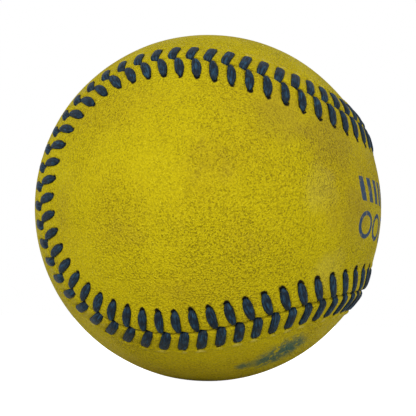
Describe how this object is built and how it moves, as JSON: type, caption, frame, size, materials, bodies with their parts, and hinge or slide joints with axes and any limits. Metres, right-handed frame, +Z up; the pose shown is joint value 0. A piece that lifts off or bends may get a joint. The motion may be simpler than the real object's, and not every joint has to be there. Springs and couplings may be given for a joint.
{
  "type": "stitched baseball",
  "caption": "Leather-covered baseball: cork and rubber core, yarn windings, figure-eight cover panels and raised waxed stitching.",
  "frame": {"origin": "centre of the ball", "axes": "+X from the centre through the waist of panel A, the ball's symmetry axis; +Y and -Y through the lobes of panel A; +Z up, and +Z and -Z through the lobes of panel B"},
  "size_m": [0.0744, 0.0744, 0.0744],
  "materials": {
    "cork": "ground cork and rubber composition, matt",
    "black_rubber": "moulded, matt",
    "red_rubber": "moulded, matt",
    "grey_wool": "wound grey wool yarn",
    "white_wool": "wound white wool yarn",
    "cotton": "wound fine finishing yarn",
    "leather": "yellow pebbled leather, soft sheen, lightly soiled",
    "thread": "dark navy waxed thread"
  },
  "bodies": {
    "root": {"cork_core": "cork", "black_shell_upper": "black_rubber", "black_shell_lower": "black_rubber", "shell_washer": "red_rubber", "red_shell_upper": "red_rubber", "red_shell_lower": "red_rubber", "main_winding": "grey_wool", "second_winding": "white_wool", "third_winding": "grey_wool", "finish_winding": "cotton", "cover_panel_a": "leather", "cover_panel_b": "leather", "thread_strand_1": "thread", "thread_strand_2": "thread"}
  },
  "joints": []
}
